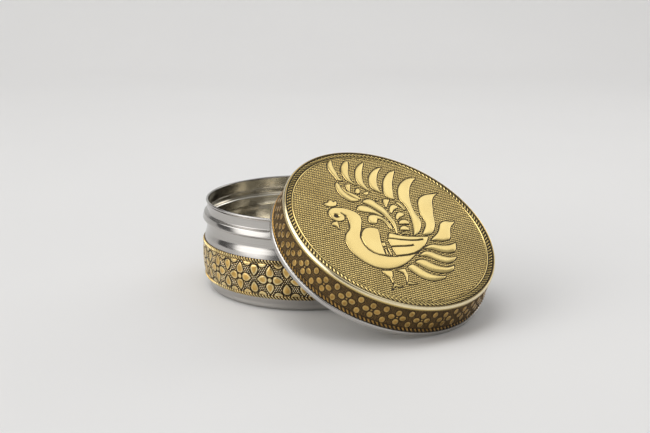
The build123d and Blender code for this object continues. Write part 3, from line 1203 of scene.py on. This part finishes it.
# The beak, the crest, two bars and a plate beside the wing, the small inner feathers, and the
# legs with their feet.
SMALLS = (
    [(-31.9, 9.2), (-30.3, 9.6), (-28.4, 9.6), (-28.9, 7.9), (-29.6, 6.2), (-30.6, 3.9),
     (-31.2, 6.4), (-32.6, 7.6)],
    [(-28.5, 22.3), (-27.7, 20.8), (-26.5, 20), (-24.9, 19.6), (-22.9, 19.6), (-21.2, 20.7),
     (-19.9, 22.6), (-20.9, 23), (-22, 22.7), (-22.5, 24.2), (-24.1, 24.2), (-25.3, 23.1),
     (-26.9, 23)],
    [(-14.4, -13.8), (-13.6, -14), (-15.2, -18.2), (-16, -17.6)],
    [(-12.6, -13.5), (-11.9, -13.9), (-13.2, -18.9), (-14, -18.6)],
    [(-13.8, -9.6), (-11.6, -9.8), (-12.8, -12.6), (-14.2, -12)],
    [(7.5, 17.8), (9.1, 18.2), (11.3, 17.3), (10.7, 16.4), (8.6, 14.7), (7.1, 13.3), (5.6, 12.1),
     (5.8, 13.3), (6.3, 15.2)],
    [(5.8, 7.6), (5.6, 9.2), (7.4, 11.6), (9.4, 13), (11.4, 13.2), (12.9, 12), (12.2, 10.6),
     (10, 9.9), (8.2, 9.3), (6.8, 8.2)],
    [(5.6, 3.6), (7, 5.4), (9, 7), (11, 7.6), (12.9, 6.8), (12.6, 5), (10.4, 4.3), (8.2, 3.8),
     (6.2, 2.6)],
    [(5, -0.2), (6.1, 1.2), (8.2, 2.1), (10.8, 1.8), (12.1, 0.2), (10.8, -1.4), (8.6, -1),
     (6.6, -0.8)],
    [(4, -2.7), (6.3, -1.9), (8.3, -2.6), (8.7, -4.6), (7.9, -5.6), (5.5, -5), (3, -4.2)],
    [(1.7, -6.2), (3.2, -6), (5.4, -6.4), (6.8, -7.4), (6.2, -8.4), (4.4, -7.4), (2.6, -7.2)],
    oval((4, 18.6), 0.8, 0.8, 8),
    [(14.5, 14.8), (16, 13.5), (16.2, 10.9), (15.8, 8.4), (15, 8.1), (14.7, 10.3), (14.1, 12.3),
     (13.5, 13.9)],
    [(-10.6, 33.6), (-10.1, 30.9), (-9.3, 28.6), (-7.9, 26.9), (-6.4, 25.3), (-5.2, 23.6),
     (-4.7, 21.5), (-6, 20.6), (-7.4, 21.9), (-8.9, 24), (-10.1, 26.6), (-10.6, 29.8)],
    [(-7.1, 33), (-5.3, 33), (-3.8, 32.5), (-5.3, 30.7), (-6.5, 28.9), (-7.6, 26.9),
     (-8.2, 27.7), (-8.3, 29.3), (-7.9, 31.2)],
    [(-1.7, 26.6), (-3.1, 25.3), (-4.4, 25.1), (-5.1, 25.9), (-4.5, 27.2), (-3, 28.6),
     (-1.6, 29), (-1, 28.2)],
    [(-0.3, 25.4), (-0.6, 24), (0.1, 23), (1.8, 23.6), (2.9, 24.8), (2.3, 25.6), (0.9, 25.4)],
    [(-25.9, -26.2), (-20.4, -27.6), (-21.2, -29.4), (-22.4, -31.2), (-23.4, -32), (-24.4, -35),
     (-25.3, -35), (-24.6, -32), (-25, -30.6), (-25.8, -28.4)],
    [(-28.6, -38.9), (-26, -36.6), (-24.6, -35.2), (-23.4, -36.6), (-21, -38.4), (-23.6, -38.2),
     (-25.4, -37.4)],
    [(-17.9, -28), (-12.4, -28.2), (-13, -30.4), (-13.6, -32.4), (-15, -34.4), (-16.6, -36.4),
     (-17.4, -37), (-16.4, -34.6), (-15.4, -32.4), (-15.4, -30.6), (-16.4, -29.4)],
    [(-18.2, -37.6), (-16.4, -36.6), (-14.4, -37.6), (-12, -38.9), (-14.6, -38.9), (-16.8, -38.2)],
)
CHEST_LINE = [
    (-12.7, 10), (-14.3, 6.5), (-16.5, 3.8), (-18.6, 1), (-20.5, -0.8), (-22.3, -3), (-23.4, -6),
    (-23.9, -9), (-23.5, -12), (-22.2, -14.5), (-20, -16.6), (-17, -18), (-13, -19.3),
    (-9, -20.2), (-4, -20.7), (0, -20.6), (4, -19.7), (8, -18.1),
]
CHEEK = [(-22.6, 14.4), (-22, 13.2), (-21.7, 12)]
EYE = [(-26.7, 13.1), (-26.3, 13.1)]
WING_LINES = (
    [(-7.9, -7.6), (-2, -10.3), (4, -12.2), (8, -13), (11.4, -13.2)],
    [(-9.8, -13.3), (-6, -14.2), (-2, -15), (1.5, -15.5), (3.2, -15.4)],
)


@dataclass(frozen=True)
class Peacock:
    """The traditional peacock in the lid's field, its tail feathers spread to the right."""

    groove: float = 0.9
    fine_groove: float = 0.7
    pupil: float = 2.9
    deep: float = 0.5
    shallow: float = 0.4

    def press(self, relief: Relief) -> None:
        """Embosses the bird into a sheet.

        Args:
            relief: Heights of the sheet, with the bird's middle near its centre.
        """
        for stroke, outlines in ((SOLID, SOLIDS), (FEATHER, FEATHERS), (SMALL, SMALLS)):
            for points in outlines:
                relief.emboss(points, stroke)
        relief.engrave(CHEST_LINE, self.groove, self.deep)
        relief.engrave(CHEEK, self.fine_groove, self.shallow)
        relief.engrave(EYE, self.pupil, self.deep)
        for line in WING_LINES:
            relief.engrave(line, self.groove, self.deep)


def rim_of(grid: Array) -> Array:
    """Border of a square grid, counter-clockwise from its first corner."""
    return np.concatenate([grid[0, :-1], grid[:-1, -1], grid[-1, :0:-1], grid[:0:-1, 0]])


@dataclass
class Lid:
    """Leaning lid: steel cap, embossed skirt band and top plate; sizes in millimetres."""

    place: Place
    mouth_radius: float = 57.4
    wall: float = 0.5
    depth: float = 16.9
    draft: float = 1.75
    hem_height: float = 2.7
    hem_proud: float = 0.8
    hem_corner: float = 0.6
    hem_shoulder: float = 0.8
    hem_root: float = 0.25
    mouth_lead: float = 0.3
    mouth_bend: float = 0.1
    cap_corner: float = 1.2
    longest_run: float = 1.6
    sheet: Sheet = Sheet()
    field_radius: float = 51.9
    ridge_width: float = 0.85
    ridge_rise: float = 0.3
    ridge_start: float = 0.08
    ridge_flat: float = 0.7
    ridge_shine: float = 1.6
    ridge_runs: int = 8
    rope_gap: float = 0.3
    rope: Rope = Rope(width=2.2, rise=0.5, strands=152, slant=-0.55, crest=0.45)
    rope_runs: int = 16
    rope_end: float = 0.999
    off_rope: float = 2.0
    rope_sink: float = 0.02
    groove_width: float = 0.25
    roll_shoulder: float = 0.8
    roll_crest: float = 0.6
    roll_flat: float = 1.45
    roll_rise: float = 0.6
    roll_drop: float = 2.1
    roll_proud: float = 0.3
    roll_hem: float = 0.35
    roll_edge: tuple[Triple, ...] = ((0.12, 0.1, 0.3), (0.3, 0, 0.2))  # inset, rise, gilding
    # Gilding of the roll past 1: a painted highlight in near-white.
    roll_painted_highlight: float = 1.2
    side_shine: float = 0.8
    side_fade: float = 0.15
    side_runs: int = 3
    slope_runs: int = 8
    slope_flat: float = 0.9
    slope_shine: float = 0.12
    slope_gain: float = 0.7
    turn_runs: int = 12
    under_run: float = 2.5
    plate_cells: int = 600
    plate_ground: float = -0.1
    plate_pips: Pips = Pips(1.385, rise=0.24, clear=0.3, shine=0.86, round_share=0.4)
    wave: float = 0.06
    wave_end: Span = (40, 51)
    wave_sides: tuple[Triple, ...] = ((4.1, 9.0, 0.6), (-11.0, 3.4, 1.1))  # lengths and phase
    band_bottom: float = 2.9
    band_top: float = 15.7
    skirt_rope: Rope = Rope(width=2.3, rise=0.35, strands=168, slant=0.4, crest=0.5, shine=0.6)
    flowers: int = 28
    first_pair: float = -153.0
    tile_columns: int = 72
    rows: int = 72
    petal: Stroke = Stroke(0.28, 0.5, 0.12, 1.5, lip=0.04, lip_at=0.5, lip_width=0.2, hollow=0.38)
    dot: Stroke = Stroke(0.32, edge=0.4)
    dot_radius: float = 0.55
    flower_middle: float = 10.1
    petal_up: float = 2.65
    petal_size: Span = (1.5, 1.75)
    side_petal: Point = (2.87, 10.0)
    side_petal_size: Span = (1.7, 1.55)
    pair_heights: Span = (6.9, 13.3)
    pair_size: Span = (1.5, 1.8)
    pips_across: int = 16

    def skirt_radius(self, height: float, outward: float = 0.0) -> float:
        """Radius of the skirt's outside at a height over the hem's underside."""
        return self.mouth_radius + self.wall - self.draft * height / self.depth + outward

    def cap(self) -> Piece:
        """The drawn steel cap with its rolled hem.

        Returns:
            The cap's object.
        """
        top = self.depth + self.wall
        hem = self.mouth_radius + self.wall + self.hem_proud
        line = Path().through(
            [
                (0, self.depth),
                (self.skirt_radius(self.depth, -self.wall), self.depth),
                (self.skirt_radius(self.mouth_lead, -self.wall), self.mouth_lead),
                (self.mouth_radius, 0),
                (hem, 0),
                (hem, self.hem_height),
                (self.skirt_radius(self.hem_height), self.hem_height),
                (self.skirt_radius(top), top),
                (0, top),
            ],
            [
                self.cap_corner - self.wall,
                self.mouth_bend,
                self.mouth_bend,
                self.hem_corner,
                self.hem_shoulder,
                self.hem_root,
                self.cap_corner,
            ],
        )
        profile = line.divided(self.longest_run)
        hem_turn = np.argmin(profile[:, 1])
        return lathe("lid_steel", profile, np.arange(len(profile)) < hem_turn, self.place)

    def skirt_band(self) -> Piece:
        """The embossed brass strip round the skirt, with flowers of four ovals.

        Returns:
            The band's object.
        """
        strip = Strip(
            name="lid_skirt_brass",
            place=self.place,
            drum=self.skirt_radius,
            span=(self.band_bottom, self.band_top),
            rows=self.rows,
            repeats=self.flowers,
            columns=self.tile_columns,
            first=self.first_pair,
            ropes=((self.band_bottom + self.skirt_rope.width / 2, self.skirt_rope),),
            sheet=self.sheet,
        )
        middle = (self.band_bottom + self.band_top) / 2
        width = FULL_TURN * self.skirt_radius(middle, self.sheet.outside()) / self.flowers
        tile = strip.tile(width, 0)
        out, height = self.side_petal
        for side in (-1, 1):
            for pair in self.pair_heights:
                tile.emboss(oval((side * width / 2, pair), *self.pair_size), self.petal)
            tile.emboss(oval((side * out, height), *self.side_petal_size), self.petal)
            up = self.flower_middle + side * self.petal_up
            tile.emboss(oval((0, up), *self.petal_size), self.petal)
        tile.emboss(oval((0, self.flower_middle), self.dot_radius, self.dot_radius), self.dot)
        spacing = width / self.pips_across
        tile.stipple(Pips(spacing, rise=0.22, clear=0.2, shine=0.36, round_share=0.38))
        return strip.wrap(tile)

    def field(self) -> tuple[Array, Array, Relief]:
        """The plate's round field with its bird and pips.

        Returns:
            Both coordinates of a square grid bent to a disc, and the relief on it.
        """
        step = np.linspace(-1, 1, self.plate_cells + 1)
        a, b = np.meshgrid(step, step)
        # Each square ring of the grid is bent to a circle.
        wide = np.abs(a) > np.abs(b)
        far, near = np.where(wide, a, b), np.where(wide, b, a)
        angle = math.pi / 4 * near / np.where(far == 0, 1, far)
        angle = np.where(wide, angle, math.pi / 2 - angle)
        x = far * np.cos(angle) * self.field_radius
        y = far * np.sin(angle) * self.field_radius
        relief = Relief(x, y)
        Peacock().press(relief)
        relief.stipple(self.plate_pips)
        waves = [np.sin(x / along + y / up + phase) for along, up, phase in self.wave_sides]
        calm = 1 - blend_steps(np.hypot(x, y), *self.wave_end)
        relief.height += self.wave * waves[0] * waves[1] * calm
        return x, y, relief

    def plate(self) -> Piece:
        """The embossed brass plate with the peacock and its rolled edge.

        Returns:
            The plate's object.
        """
        top = self.depth + self.wall + self.sheet.outside()
        below, drop = top - self.sheet.brass, top - self.roll_drop
        x, y, relief = self.field()
        skin = Skin()
        level = top + self.plate_ground + relief.height
        numbers = skin.add(np.stack([x, y, level], -1), relief.gilt)
        skin.weave(numbers, False)
        turns = np.unwrap(np.arctan2(rim_of(y), rim_of(x)))
        radius, height, across, shine = self.border(top)
        twist, polish_and_painted_highlight = self.rope.twist(turns[None, :], across[:, None])
        inside = (np.abs(across) < 1)[:, None]
        rows = ring_points(np.stack([radius, height], -1), turns)
        full = self.rope.rise - self.plate_ground - self.rope_sink
        rows[:, :, 2] += np.where(inside, full * twist, 0)
        border = skin.add(rows, np.where(inside, polish_and_painted_highlight, shine[:, None]))
        skin.weave(np.concatenate([rim_of(numbers)[None, :], border]), True)
        knots = [(self.skirt_radius(z, self.sheet.glue), z) for z in (drop, below)]
        path = Path().through([*knots, (0, below)], [self.cap_corner + self.sheet.glue])
        under = skin.add(ring_points(path.divided(self.under_run)[:-1], turns))
        skin.weave(np.concatenate([border[-1:], under]), True)
        skin.fan(under[-1], below, True)
        return skin.to_object("lid_top_brass", self.place)

    def border(self, top: float) -> Array:
        """Profile of the plate from the field's edge to the bottom of its roll.

        Args:
            top: Height of the plate's flat top.

        Returns:
            Rows with each point's radius, height, place across the rope and gilding.
        """
        stretches = []

        def draw(radius: Array, height: Array, shine: Array, across: Array | None = None) -> None:
            """Adds a stretch of points, off the rope or at their places across it."""
            place = self.off_rope if across is None else across
            stretches.append(np.stack(np.broadcast_arrays(radius, height, place, shine)))

        ground, crest = top + self.plate_ground, top + self.roll_rise
        # The ridge round the field.
        share = np.linspace(0, 1, self.ridge_runs + 1)
        swell = np.sin(math.pi * share) ** self.ridge_flat
        start = self.field_radius + self.ridge_start
        rise = (self.ridge_rise - self.plate_ground) * swell
        shine = np.minimum(1, self.ridge_shine * swell)
        draw(start + self.ridge_width * share, ground + rise, shine)
        # The bed of the rope and the groove outside it.
        share = np.linspace(0, 1, self.rope_runs + 1)
        start = self.field_radius + self.ridge_width + self.rope_gap
        across = np.clip(2 * share - 1, -self.rope_end, self.rope_end)
        draw(start + self.rope.width * share, ground, 0, across)
        start += self.rope.width + self.groove_width
        draw([start], ground, 0)
        # The slope up to the roll's crest.
        share = np.linspace(0, 1, self.slope_runs + 1)[1:]
        rise = (crest - ground) * np.sin(math.pi / 2 * share) ** self.slope_flat
        shine = self.slope_shine + self.slope_gain * share**2
        draw(start + self.roll_crest * share, ground + rise, shine)
        start += self.roll_crest
        # The roll over the cap's corner, its straight side and its edge. The roll is gilded past 1,
        # a painted highlight, and the side fades darker downward.
        roll = self.skirt_radius(top, self.sheet.outside()) + self.roll_proud
        foot, drop = top - self.roll_shoulder, top - self.roll_drop
        turn = math.pi / 2 * np.linspace(0, 1, self.turn_runs + 1)[1:]
        out, low = np.sin(turn) ** self.roll_flat, np.cos(turn) ** self.roll_flat
        draw(start + (roll - start) * out, foot + (crest - foot) * low, self.roll_painted_highlight)
        step = np.arange(1, self.side_runs + 1)
        height = foot + (drop + self.roll_hem - foot) * step / self.side_runs
        draw(roll, height, self.side_shine - self.side_fade * step)
        for inset, rise, shine in self.roll_edge:
            draw([roll - inset], drop + rise, shine)
        return np.concatenate(stretches, 1)

    def build(self) -> None:
        """Builds and dresses the lid's pieces."""
        hand_over(self.cap(), "lid_shell", Body.LID, STEEL)
        hand_over(self.skirt_band(), "lid_skirt_band", Body.LID, SKIRT_BRASS_WITH_PAINTED_SHADE)
        hand_over(self.plate(), "lid_top_plate", Body.LID, PLATE_BRASS)


@dataclass(frozen=True)
class Glow:
    """Round soft glow on the room's walls: its direction and its radii in degrees."""

    azimuth: float
    height: float
    core: float
    edge: float
    strength: float

    def centre(self) -> Triple:
        """Direction of its centre.

        Returns:
            The three parts of the unit vector.
        """
        azimuth, height = math.radians(self.azimuth), math.radians(self.height)
        flat = math.cos(height)
        return flat * math.cos(azimuth), flat * math.sin(azimuth), math.sin(height)

    def span(self) -> Span:
        """Cosines of its edge and its core."""
        return math.cos(math.radians(self.edge)), math.cos(math.radians(self.core))


@dataclass(frozen=True)
class Lamp:
    """Soft rectangular lamp: where it hangs, its face's two sides and its face's brightness."""

    name: str
    spot: Triple
    size: Span
    glow: float


@dataclass(frozen=True)
class Studio:
    """Pale floor, soft lamps and the photograph's camera; lengths in metres."""

    eye: Triple = (0.001174, -0.610232, 0.188983)
    yaw: float = 0.8212
    pitch: float = 14.0085
    lens: float = 63.124
    sensor: float = 36.0
    nearest: float = 0.01
    floor_colour: Triple = (0.80, 0.795, 0.79)
    floor_patch: float = 0.97
    floor_noise: Noise = Noise(6)
    floor_roughness: float = 0.55
    floor_front: float = -2.4
    floor_side: float = 2.6
    wall_distance: float = 1.3
    wall_bend: float = 0.4
    wall_height: float = 0.6
    bend_runs: int = 12
    sky_colour: Triple = (1, 0.995, 0.985)
    horizon_glow: float = 0.12
    zenith_glow: float = 0.6
    glows: tuple[Glow, ...] = (
        Glow(206, 16, 12, 30, 2.2),
        Glow(174, 36, 8, 28, 2.0),
        Glow(-70, 30, 8, 36, 0.6),
        Glow(38, 18, 8, 26, 1.7),
    )
    lamps: tuple[Lamp, ...] = (
        Lamp("lamp_plate", (0.44, 0.42, 0.76), (0.42, 0.38), 0.95),
        Lamp("lamp_over", (-0.2, 0.0, 1.5), (0.8, 0.8), 3.2),
    )
    aim: Triple = (0.02, -0.02, 0.03)

    def camera(self) -> None:
        """Places the camera as the photograph was taken."""
        data = bpy.data.cameras.new("camera")
        data.lens, data.sensor_width, data.clip_start = self.lens, self.sensor, self.nearest
        camera = link(bpy.data.objects.new("camera", data))
        camera.location = self.eye
        camera.rotation_euler = (math.radians(90 - self.pitch), 0, math.radians(-self.yaw))
        bpy.context.scene.camera = camera

    def floor(self) -> None:
        """One sheet of pale board: the floor, a bend and the wall behind."""
        start = self.wall_distance - self.wall_bend
        rows = [(self.floor_front, 0.0), (start, 0.0)]
        for step in range(1, self.bend_runs + 1):
            angle = math.pi / 2 * step / self.bend_runs
            out, up = math.sin(angle), 1 - math.cos(angle)
            rows.append((start + self.wall_bend * out, self.wall_bend * up))
        rows.append((self.wall_distance, self.wall_height))
        corners = [(x, y, z) for y, z in rows for x in (-self.floor_side, self.floor_side)]
        faces = [(2 * k, 2 * k + 1, 2 * k + 3, 2 * k + 2) for k in range(len(rows) - 1)]
        mesh = bpy.data.meshes.new("studio_floor")
        mesh.from_pydata(corners, [], faces)
        mesh.shade_smooth()
        board = link(bpy.data.objects.new("studio_floor", mesh))
        nodes = Finish("pale_board")
        spot = nodes.add("ShaderNodeNewGeometry").outputs["Position"]
        patch = tuple(self.floor_patch * value for value in self.floor_colour)
        tone = nodes.mix(nodes.noise(spot, self.floor_noise), self.floor_colour, patch)
        mesh.materials.append(nodes.shade(tone, self.floor_roughness))

    def hang(self, lamp: Lamp) -> None:
        """Hangs one soft lamp that looks at the box.

        Args:
            lamp: Place, size and brightness of the lamp.
        """
        data = bpy.data.lights.new(lamp.name, "AREA")
        data.shape, data.size, data.size_y = "RECTANGLE", *lamp.size
        data.energy = lamp.glow * math.pi * lamp.size[0] * lamp.size[1]
        light = link(bpy.data.objects.new(lamp.name, data))
        light.location = lamp.spot
        light.visible_camera = False
        look = Vector(self.aim) - Vector(lamp.spot)
        light.rotation_euler = look.to_track_quat("-Z", "Y").to_euler()

    def room(self) -> None:
        """Soft grey light from all sides, brighter above, with the glows of large soft boxes."""
        world = bpy.data.worlds.new("studio_room")
        world.use_nodes = True
        nodes = Nodes(world.node_tree)
        direction = nodes.add("ShaderNodeTexCoord").outputs["Generated"]
        up = nodes.add("ShaderNodeSeparateXYZ", {0: direction}).outputs["Z"]
        square, gain = nodes.math("MULTIPLY", up, up), self.zenith_glow - self.horizon_glow
        light = nodes.math("MULTIPLY_ADD", square, gain, self.horizon_glow)
        for glow in self.glows:
            ends = {0: direction, 1: glow.centre()}
            towards = nodes.add("ShaderNodeVectorMath", ends, operation="DOT_PRODUCT")
            lobe = nodes.graded(towards.outputs["Value"], glow.span(), (0, glow.strength))
            light = nodes.math("ADD", light, lobe)
        sky = {"Color": (*self.sky_colour, 1), "Strength": light}
        nodes.feed(world.node_tree.nodes["Background"], sky)
        bpy.context.scene.world = world

    def build(self) -> None:
        """Sets up the whole studio."""
        self.camera()
        self.floor()
        self.room()
        for lamp in self.lamps:
            self.hang(lamp)
        bpy.context.scene.view_settings.view_transform = "Standard"


def main() -> None:
    """Builds the pot, its lid and the studio."""
    logging.basicConfig(level=logging.INFO, format="%(message)s")
    Pot().build()
    Lid(lid_place()).build()
    Studio().build()


if __name__ == "__main__":
    main()
